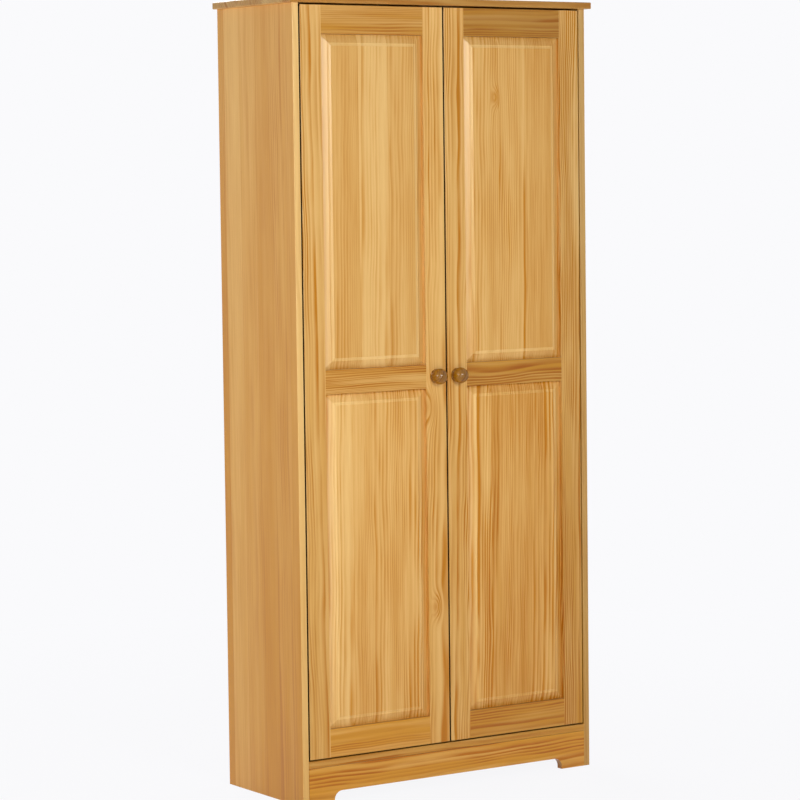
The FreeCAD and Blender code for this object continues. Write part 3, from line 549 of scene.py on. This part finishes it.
def gap_shade(tree, board, cut):
    """Painted shade deep in the narrow gaps round a door: its edges and ends are drawn dull and
    dark.
    """
    _, openness = add(tree, "AmbientOcclusion", {"Distance": GAP_REACH / MM_PER_METRE},
                      samples=GAP_RAYS)
    deep = add(tree, "MapRange", (openness, *GAP_OPENNESS, 1.0 - board.gap, 0.0))[0]
    aside = add(tree, "Math", (cut.outward, cut.endward), operation="MAXIMUM")[0]
    bounding = add(tree, "MapRange", (aside, *GAPWARD, 0.0, 1.0))[0]
    gap_painted_shade = add(tree, "Math", (deep, bounding), operation="MULTIPLY")[0]
    return add(tree, "Math", (1.0, gap_painted_shade), operation="SUBTRACT")[0]


def sawn_wood(name, board, finish, coat):
    """Solid wood cut from round growth rings, so the figure runs on over edges, bevels and ends.

    Rubbed wax gives pine a soft low sheen and warm lines; varnish gives a knob small highlights.
    """
    material, tree = new_material(name)
    cut = saw_cut(tree, board)
    knots = [knot_nearness(tree, cut, knot) for knot in board.knots]
    fibre = grain_noise(tree, cut, *FIBRE_NOISE)
    patch = grain_noise(tree, cut, *PATCH_NOISE)
    late = late_wood(tree, board, cut, ring_age(tree, board, finish, cut, knots), patch)
    heart = heart_share(tree, board, cut)
    wax = wax_share(tree, board, finish, cut, late, fibre, patch, knots)

    colour = add(tree, "Mix", (heart, opaque(finish.early_colour), opaque(finish.heart_colour)),
                 data_type="RGBA")[0]
    colour = add(tree, "Mix", (wax, colour, opaque(finish.late_tint)),
                 data_type="RGBA", blend_type="MULTIPLY")[0]
    tone = board.light
    shine = finish.shine
    for shade in dark_places(tree, board, cut):
        tone = add(tree, "Math", (tone, shade), operation="MULTIPLY")[0]
    # Painted shade in the gaps round a door: it darkens the wood and dims its shine there
    if board.gap < 1.0:
        shade = gap_shade(tree, board, cut)
        tone = add(tree, "Math", (tone, shade), operation="MULTIPLY")[0]
        shine = add(tree, "Math", (finish.shine, shade), operation="MULTIPLY")[0]
    colour = add(tree, "VectorMath", {"Vector": colour, "Scale": tone}, operation="SCALE")[0]

    # Late wood is harder: it stands a little proud and takes more polish
    early_rough = finish.roughness + EARLY_ROUGHER
    late_rough = finish.roughness - LATE_SMOOTHER
    rough = add(tree, "MapRange", (late, 0.0, 1.0, early_rough, late_rough))[0]
    relief = add(tree, "Math", (fibre, FIBRE_RELIEF, late), operation="MULTIPLY_ADD")[0]
    bump = add(tree, "Bump", {
        "Strength": RELIEF_STRENGTH, "Distance": RELIEF_HEIGHT, "Height": relief})[0]
    shader = add(tree, "BsdfPrincipled", {
        "Base Color": colour, "Roughness": rough, "IOR": WOOD_IOR, "Specular IOR Level": shine,
        "Normal": bump, "Coat Weight": coat, "Coat Roughness": COAT_ROUGHNESS})[0]
    add(tree, "OutputMaterial", (shader,))
    return material


def finish_boards(boards, finish, kind, coat):
    """Gives each board a material with its own figure."""
    for board in boards:
        dress((board.node,), sawn_wood(kind + "." + board.node, board, finish, coat))


# Sizes in mm of the figure and the fibres of the back panels, and of the flecks in the dowels
VENEER_FIGURE = (28.0, 28.0, 600.0)
VENEER_FIBRE = (1.5, 1.5, 45.0)
BEECH_FLECK = (4.0, 0.8, 0.8)


def rotary_plywood(settings):
    """Rotary-cut plywood, sanded: a calm pale face with long loose figure."""
    material, tree = new_material("rotary_plywood")
    place = add(tree, "TexCoord")[PLACE]
    figure = add(tree, "VectorMath", (place, repeats(*VENEER_FIGURE)), operation="MULTIPLY")[0]
    wave = add(tree, "TexNoise", {
        "Vector": figure, "Scale": 1.0, "Detail": 3.0, "Distortion": 0.8})[0]
    fine = add(tree, "VectorMath", (place, repeats(*VENEER_FIBRE)), operation="MULTIPLY")[0]
    fibre = add(tree, "TexNoise", {"Vector": fine, "Scale": 1.0, "Detail": 1.0})[0]
    share = add(tree, "MapRange", (wave, 0.35, 0.65, 0.0, 0.5))[0]
    colour = add(tree, "Mix", (
        share, opaque(settings.ply_colour), opaque(settings.ply_line_colour)),
        data_type="RGBA")[0]
    tone = add(tree, "MapRange", (fibre, *SOFT, 0.93, 1.05))[0]
    colour = add(tree, "VectorMath", {"Vector": colour, "Scale": tone}, operation="SCALE")[0]
    bump = add(tree, "Bump", {"Strength": 0.2, "Distance": RELIEF_HEIGHT, "Height": fibre})[0]
    shader = add(tree, "BsdfPrincipled", {
        "Base Color": colour, "Roughness": 0.6, "IOR": WOOD_IOR, "Normal": bump})[0]
    add(tree, "OutputMaterial", (shader,))
    return material


def turned_beech(settings):
    """Plain turned beech: an even pinkish wood with short darker flecks."""
    material, tree = new_material("turned_beech")
    place = add(tree, "TexCoord")[PLACE]
    stretch = add(tree, "VectorMath", (place, repeats(*BEECH_FLECK)), operation="MULTIPLY")[0]
    fleck = add(tree, "TexNoise", {"Vector": stretch, "Scale": 1.0, "Detail": 2.0})[0]
    tone = add(tree, "MapRange", (fleck, 0.3, 0.75, 1.05, 0.78))[0]
    colour = add(tree, "VectorMath", {"Vector": settings.beech_colour, "Scale": tone},
                 operation="SCALE")[0]
    shader = add(tree, "BsdfPrincipled", {
        "Base Color": colour, "Roughness": 0.5, "IOR": WOOD_IOR})[0]
    add(tree, "OutputMaterial", (shader,))
    return material


# Fittings

# Drawing marks run upwards, so their pattern changes slowly that way; then the height of a mark in
# metres, and the sizes in mm of the grit of plastic and magnet
DRAWN_STRETCH = (1.0, 1.0, 0.08)
MARK_HEIGHT = 0.0001
ABS_GRIT = 0.6
FERRITE_GRIT = 0.8


def plated_steel(name, colour, roughness, mottle_mm, scratch_mm):
    """Pressed steel with a thin plate: bright metal, faintly mottled, with fine drawing marks."""
    material, tree = new_material(name)
    place = add(tree, "TexCoord")[PLACE]
    mottle = add(tree, "TexNoise", {
        "Vector": place, "Scale": MM_PER_METRE / mottle_mm, "Detail": 3.0})[0]
    drawn = add(tree, "VectorMath", (place, DRAWN_STRETCH), operation="MULTIPLY")[0]
    scratch = add(tree, "TexNoise", {
        "Vector": drawn, "Scale": MM_PER_METRE / scratch_mm, "Detail": 1.0})[0]
    tone = add(tree, "MapRange", (mottle, *CLEAR, 0.9, 1.05))[0]
    tinted = add(tree, "VectorMath", {"Vector": colour, "Scale": tone}, operation="SCALE")[0]
    rough = add(tree, "MapRange", (scratch, *CLEAR, roughness - 0.06, roughness + 0.10))[0]
    bump = add(tree, "Bump", {"Strength": 0.08, "Distance": MARK_HEIGHT, "Height": scratch})[0]
    shader = add(tree, "BsdfPrincipled", {
        "Base Color": tinted, "Metallic": 1.0, "Roughness": rough, "Normal": bump})[0]
    add(tree, "OutputMaterial", (shader,))
    return material


def moulded_abs(settings):
    """Moulded ABS: brown plastic with a fine spark-eroded grain that breaks up its shine."""
    material, tree = new_material("moulded_abs")
    place = add(tree, "TexCoord")[PLACE]
    grit = add(tree, "TexNoise", {
        "Vector": place, "Scale": MM_PER_METRE / ABS_GRIT, "Detail": 1.0})[0]
    tone = add(tree, "MapRange", (grit, *CLEAR, 0.92, 1.08))[0]
    colour = add(tree, "VectorMath", {"Vector": settings.plastic_colour, "Scale": tone},
                 operation="SCALE")[0]
    bump = add(tree, "Bump", {"Strength": 0.15, "Distance": MARK_HEIGHT, "Height": grit})[0]
    shader = add(tree, "BsdfPrincipled", {
        "Base Color": colour, "Roughness": 0.48, "IOR": 1.53, "Normal": bump})[0]
    add(tree, "OutputMaterial", (shader,))
    return material


def pressed_ferrite(settings):
    """Pressed ferrite: a dull dark block with a faint grit."""
    material, tree = new_material("pressed_ferrite")
    place = add(tree, "TexCoord")[PLACE]
    grit = add(tree, "TexNoise", {
        "Vector": place, "Scale": MM_PER_METRE / FERRITE_GRIT, "Detail": 2.0})[0]
    tone = add(tree, "MapRange", (grit, *CLEAR, 0.8, 1.15))[0]
    colour = add(tree, "VectorMath", {"Vector": settings.magnet_colour, "Scale": tone},
                 operation="SCALE")[0]
    shader = add(tree, "BsdfPrincipled", {
        "Base Color": colour, "Metallic": 0.3, "Roughness": 0.55})[0]
    add(tree, "OutputMaterial", (shader,))
    return material


HINGES = ("bottom", "middle", "top")
HINGE_NODES = ["hinge_plates"]
HINGE_NODES += [
    f"{side}_{place}_hinge_{piece}"
    for side in SIDES for place in HINGES for piece in ("arm", "cup")]
HINGE_NODES += [f"{side}_hinge_pins" for side in SIDES]
ZINC_NODES = [
    "hinge_plate_screws", "hinge_arm_screws", "catch_screws", "back_panel_nails", "shelf_pins"]
ZINC_NODES += [
    f"{side}_{piece}"
    for side in SIDES for piece in ("knob_screw", "door_screws", "strike_plate")]


# Operators

class CUPBOARD_OT_sides(bpy.types.Operator):
    """Finish the two side boards in waxed pine staves"""
    bl_idname = "cupboard.sides"
    bl_label = "Side Boards"

    def execute(self, context):
        finish_boards(SIDE_BOARDS, context.scene.cupboard_pine, "waxed_pine", OUTSIDE_COAT)
        return {"FINISHED"}


class CUPBOARD_OT_top(bpy.types.Operator):
    """Finish the top board in waxed pine staves"""
    bl_idname = "cupboard.top"
    bl_label = "Top Board"

    def execute(self, context):
        finish_boards(TOP_BOARDS, context.scene.cupboard_pine, "waxed_pine", OUTSIDE_COAT)
        return {"FINISHED"}


class CUPBOARD_OT_plinth(bpy.types.Operator):
    """Finish the arched plinth in waxed pine"""
    bl_idname = "cupboard.plinth"
    bl_label = "Plinth"

    def execute(self, context):
        finish_boards(PLINTH_BOARDS, context.scene.cupboard_pine, "waxed_pine", OUTSIDE_COAT)
        return {"FINISHED"}


class CUPBOARD_OT_inside(bpy.types.Operator):
    """Finish the shelves, the bottom board and the partition"""
    bl_idname = "cupboard.inside"
    bl_label = "Shelves and Partition"

    def execute(self, context):
        finish_boards(INNER_BOARDS, context.scene.cupboard_pine, "waxed_pine", INSIDE_COAT)
        return {"FINISHED"}


class CUPBOARD_OT_stiles(bpy.types.Operator):
    """Finish the upright stiles of both doors"""
    bl_idname = "cupboard.stiles"
    bl_label = "Door Stiles"

    def execute(self, context):
        finish_boards(STILE_BOARDS, context.scene.cupboard_pine, "waxed_pine", OUTSIDE_COAT)
        return {"FINISHED"}


class CUPBOARD_OT_rails(bpy.types.Operator):
    """Finish the level rails of both doors"""
    bl_idname = "cupboard.rails"
    bl_label = "Door Rails"

    def execute(self, context):
        finish_boards(RAIL_BOARDS, context.scene.cupboard_pine, "waxed_pine", OUTSIDE_COAT)
        return {"FINISHED"}


class CUPBOARD_OT_panels(bpy.types.Operator):
    """Finish the four bevelled door panels"""
    bl_idname = "cupboard.panels"
    bl_label = "Door Panels"

    def execute(self, context):
        finish_boards(PANEL_BOARDS, context.scene.cupboard_pine, "waxed_pine", OUTSIDE_COAT)
        return {"FINISHED"}


class CUPBOARD_OT_knobs(bpy.types.Operator):
    """Finish the turned knobs in stained and varnished wood"""
    bl_idname = "cupboard.knobs"
    bl_label = "Knobs"

    def execute(self, context):
        finish_boards(KNOB_BOARDS, context.scene.cupboard_knobs, "varnished_turned_wood", NO_COAT)
        return {"FINISHED"}


class CUPBOARD_OT_back(bpy.types.Operator):
    """Finish the thin back panels"""
    bl_idname = "cupboard.back"
    bl_label = "Back Panels"

    def execute(self, context):
        plywood = rotary_plywood(context.scene.cupboard_panel_wood)
        dress([f"{side}_back_panel" for side in SIDES], plywood)
        return {"FINISHED"}


class CUPBOARD_OT_hinges(bpy.types.Operator):
    """Finish the hinge cups, arms, plates and pins"""
    bl_idname = "cupboard.hinges"
    bl_label = "Hinges"

    def execute(self, context):
        nickel = plated_steel(
            "nickel_plated_steel", context.scene.cupboard_fittings.nickel_colour,
            roughness=0.28, mottle_mm=6.0, scratch_mm=0.5)
        dress(HINGE_NODES, nickel)
        return {"FINISHED"}


class CUPBOARD_OT_catches(bpy.types.Operator):
    """Finish the cases and magnets of the two catches"""
    bl_idname = "cupboard.catches"
    bl_label = "Catches"

    def execute(self, context):
        settings = context.scene.cupboard_fittings
        dress([f"{side}_catch_housing" for side in SIDES], moulded_abs(settings))
        dress([f"{side}_catch_magnet" for side in SIDES], pressed_ferrite(settings))
        return {"FINISHED"}


class CUPBOARD_OT_fasteners(bpy.types.Operator):
    """Finish the screws, nails, shelf pins, strike plates and dowels"""
    bl_idname = "cupboard.fasteners"
    bl_label = "Screws, Pins and Dowels"

    def execute(self, context):
        zinc = plated_steel(
            "zinc_plated_steel", context.scene.cupboard_fittings.zinc_colour,
            roughness=0.36, mottle_mm=4.0, scratch_mm=0.4)
        dress(ZINC_NODES, zinc)
        dress(("carcass_dowels",), turned_beech(context.scene.cupboard_panel_wood))
        return {"FINISHED"}


# Stage

class Lamp(NamedTuple):
    """A square studio lamp that faces the middle of the cupboard."""
    name: str
    azimuth: float              # in degrees: 0 is straight in front, and left is negative
    elevation: float            # in degrees
    distance: float             # in metres
    width: float                # in metres
    power: float                # in watts


LAMPS = (
    Lamp("front_lamp", -10.0, 15.0, 3.6, 1.0, 54.0),
    Lamp("low_lamp", -24.0, -12.0, 3.6, 1.5, 24.0),
    Lamp("left_lamp", -66.0, 14.0, 3.6, 0.7, 24.0),
    Lamp("side_lamp", -110.0, 6.0, 3.2, 1.3, 20.0),
    Lamp("right_lamp", 108.0, 12.0, 3.6, 1.3, 50.0),
    Lamp("back_lamp", 172.0, 42.0, 4.2, 1.5, 90.0),
)
LAMP_AIM = 1.0                  # height in metres that the lamps face

# The floor's corners; between which distances in metres it runs out into the backdrop, and its
# share of white there; and the strength of the backdrop as a light
FLOOR_CORNERS = 96
FLOOR_FADE = (0.8, 2.6)
FLOOR_WHITE = (0.95, 1.0)
BACKDROP_FILL = 0.18
SENSOR_WIDTH = 36.0             # in millimetres, as the lens is


def disc(name, radius, corners):
    """A flat round sheet on the ground."""
    mesh = bpy.data.meshes.new(name)
    shape = bmesh.new()
    bmesh.ops.create_circle(shape, cap_ends=True, segments=corners, radius=radius)
    shape.to_mesh(mesh)
    shape.free()
    sheet = bpy.data.objects.new(name, mesh)
    bpy.context.scene.collection.objects.link(sheet)
    return sheet


def background_rays(tree):
    """One for rays that show the background: from the camera, or by way of a shine or a pane."""
    rays = {socket.name: socket for socket in add(tree, "LightPath")}
    seen = add(tree, "Math", (rays["Is Camera Ray"], rays["Is Glossy Ray"]),
               operation="MAXIMUM")[0]
    return add(tree, "Math", (seen, rays["Is Transmission Ray"]), operation="MAXIMUM")[0]


def studio_floor(settings):
    """Matt pale paint: it takes a faint shadow and runs out into the white backdrop."""
    material, tree = new_material("matt_floor_paint")
    place = add(tree, "TexCoord")[PLACE]
    away = add(tree, "VectorMath", (place,), operation="LENGTH")[0]
    white_share = add(tree, "MapRange", (away, *FLOOR_FADE, *FLOOR_WHITE),
                      interpolation_type="SMOOTHSTEP")[0]
    share = add(tree, "Math", (white_share, background_rays(tree)), operation="MULTIPLY")[0]
    paint = add(tree, "BsdfDiffuse", {"Color": opaque(settings.floor_colour)})[0]
    white = add(tree, "Emission", {"Color": opaque(settings.backdrop_colour), "Strength": 1.0})[0]
    mixed = add(tree, "MixShader", (share, paint, white))[0]
    add(tree, "OutputMaterial", (mixed,))
    return material


def backdrop(settings):
    """A world that is white to the eye and a softer fill to the cupboard."""
    world = bpy.data.worlds.new("studio_backdrop")
    world.use_nodes = True
    tree = world.node_tree
    tree.nodes.clear()
    strength = add(tree, "MapRange", (background_rays(tree), 0.0, 1.0, BACKDROP_FILL, 1.0))[0]
    white = add(tree, "Background", {
        "Color": opaque(settings.backdrop_colour), "Strength": strength})[0]
    add(tree, "OutputWorld", (white,))
    return world


def hang_lamp(lamp):
    """Puts up one lamp and turns it to the cupboard."""
    turn, tilt = math.radians(lamp.azimuth), math.radians(lamp.elevation)
    light = bpy.data.lights.new(lamp.name, "AREA")
    light.shape = "SQUARE"
    light.size = lamp.width
    light.energy = lamp.power
    holder = bpy.data.objects.new(lamp.name, light)
    bpy.context.scene.collection.objects.link(holder)
    level = lamp.distance * math.cos(tilt)
    height = LAMP_AIM + lamp.distance * math.sin(tilt)
    holder.location = (level * math.sin(turn), -level * math.cos(turn), height)
    holder.rotation_euler = (math.pi / 2 - tilt, 0.0, turn)


class CUPBOARD_OT_stage(bpy.types.Operator):
    """Set the floor, the light, the white backdrop and the camera"""
    bl_idname = "cupboard.stage"
    bl_label = "Stage"

    def execute(self, context):
        scene = context.scene
        settings = scene.cupboard_stage
        floor = disc("studio_floor", settings.floor_radius, FLOOR_CORNERS)
        floor.data.materials.append(studio_floor(settings))
        scene.world = backdrop(settings)
        for lamp in LAMPS:
            hang_lamp(lamp)

        lens = bpy.data.cameras.new("camera")
        lens.lens = settings.lens
        lens.sensor_width = SENSOR_WIDTH
        camera = bpy.data.objects.new("camera", lens)
        scene.collection.objects.link(camera)
        camera.location = settings.camera_place
        camera.rotation_euler = settings.camera_turn
        scene.camera = camera
        scene.view_settings.view_transform = "Standard"
        return {"FINISHED"}


class CUPBOARD_PT_sidebar(bpy.types.Panel):
    """Lists the cupboard's settings and the steps that finish it"""
    bl_idname = "CUPBOARD_PT_sidebar"
    bl_label = "Broom Cupboard"
    bl_space_type = "VIEW_3D"
    bl_region_type = "UI"
    bl_category = "Cupboard"

    def draw(self, context):
        for name in SETTINGS:
            box = self.layout.box()
            for key in getattr(context.scene, name).bl_rna.properties.keys():
                if key not in ("rna_type", "name"):
                    box.prop(getattr(context.scene, name), key)
        for operator in OPERATORS:
            self.layout.operator(operator.bl_idname)


SETTINGS = {
    "cupboard_pine": PineSettings,
    "cupboard_knobs": KnobSettings,
    "cupboard_panel_wood": PanelWoodSettings,
    "cupboard_fittings": FittingSettings,
    "cupboard_stage": StageSettings,
}

OPERATORS = (
    CUPBOARD_OT_sides,
    CUPBOARD_OT_top,
    CUPBOARD_OT_plinth,
    CUPBOARD_OT_inside,
    CUPBOARD_OT_stiles,
    CUPBOARD_OT_rails,
    CUPBOARD_OT_panels,
    CUPBOARD_OT_knobs,
    CUPBOARD_OT_back,
    CUPBOARD_OT_hinges,
    CUPBOARD_OT_catches,
    CUPBOARD_OT_fasteners,
    CUPBOARD_OT_stage,
)


def register():
    for name, group in SETTINGS.items():
        bpy.utils.register_class(group)
        setattr(bpy.types.Scene, name, PointerProperty(type=group))
    for operator in OPERATORS:
        bpy.utils.register_class(operator)
    bpy.utils.register_class(CUPBOARD_PT_sidebar)


def unregister():
    bpy.utils.unregister_class(CUPBOARD_PT_sidebar)
    for operator in reversed(OPERATORS):
        bpy.utils.unregister_class(operator)
    for name, group in SETTINGS.items():
        delattr(bpy.types.Scene, name)
        bpy.utils.unregister_class(group)


def main():
    register()
    bpy.ops.cupboard.sides()
    bpy.ops.cupboard.top()
    bpy.ops.cupboard.plinth()
    bpy.ops.cupboard.inside()
    bpy.ops.cupboard.stiles()
    bpy.ops.cupboard.rails()
    bpy.ops.cupboard.panels()
    bpy.ops.cupboard.knobs()
    bpy.ops.cupboard.back()
    bpy.ops.cupboard.hinges()
    bpy.ops.cupboard.catches()
    bpy.ops.cupboard.fasteners()
    bpy.ops.cupboard.stage()


if __name__ == "__main__":
    main()
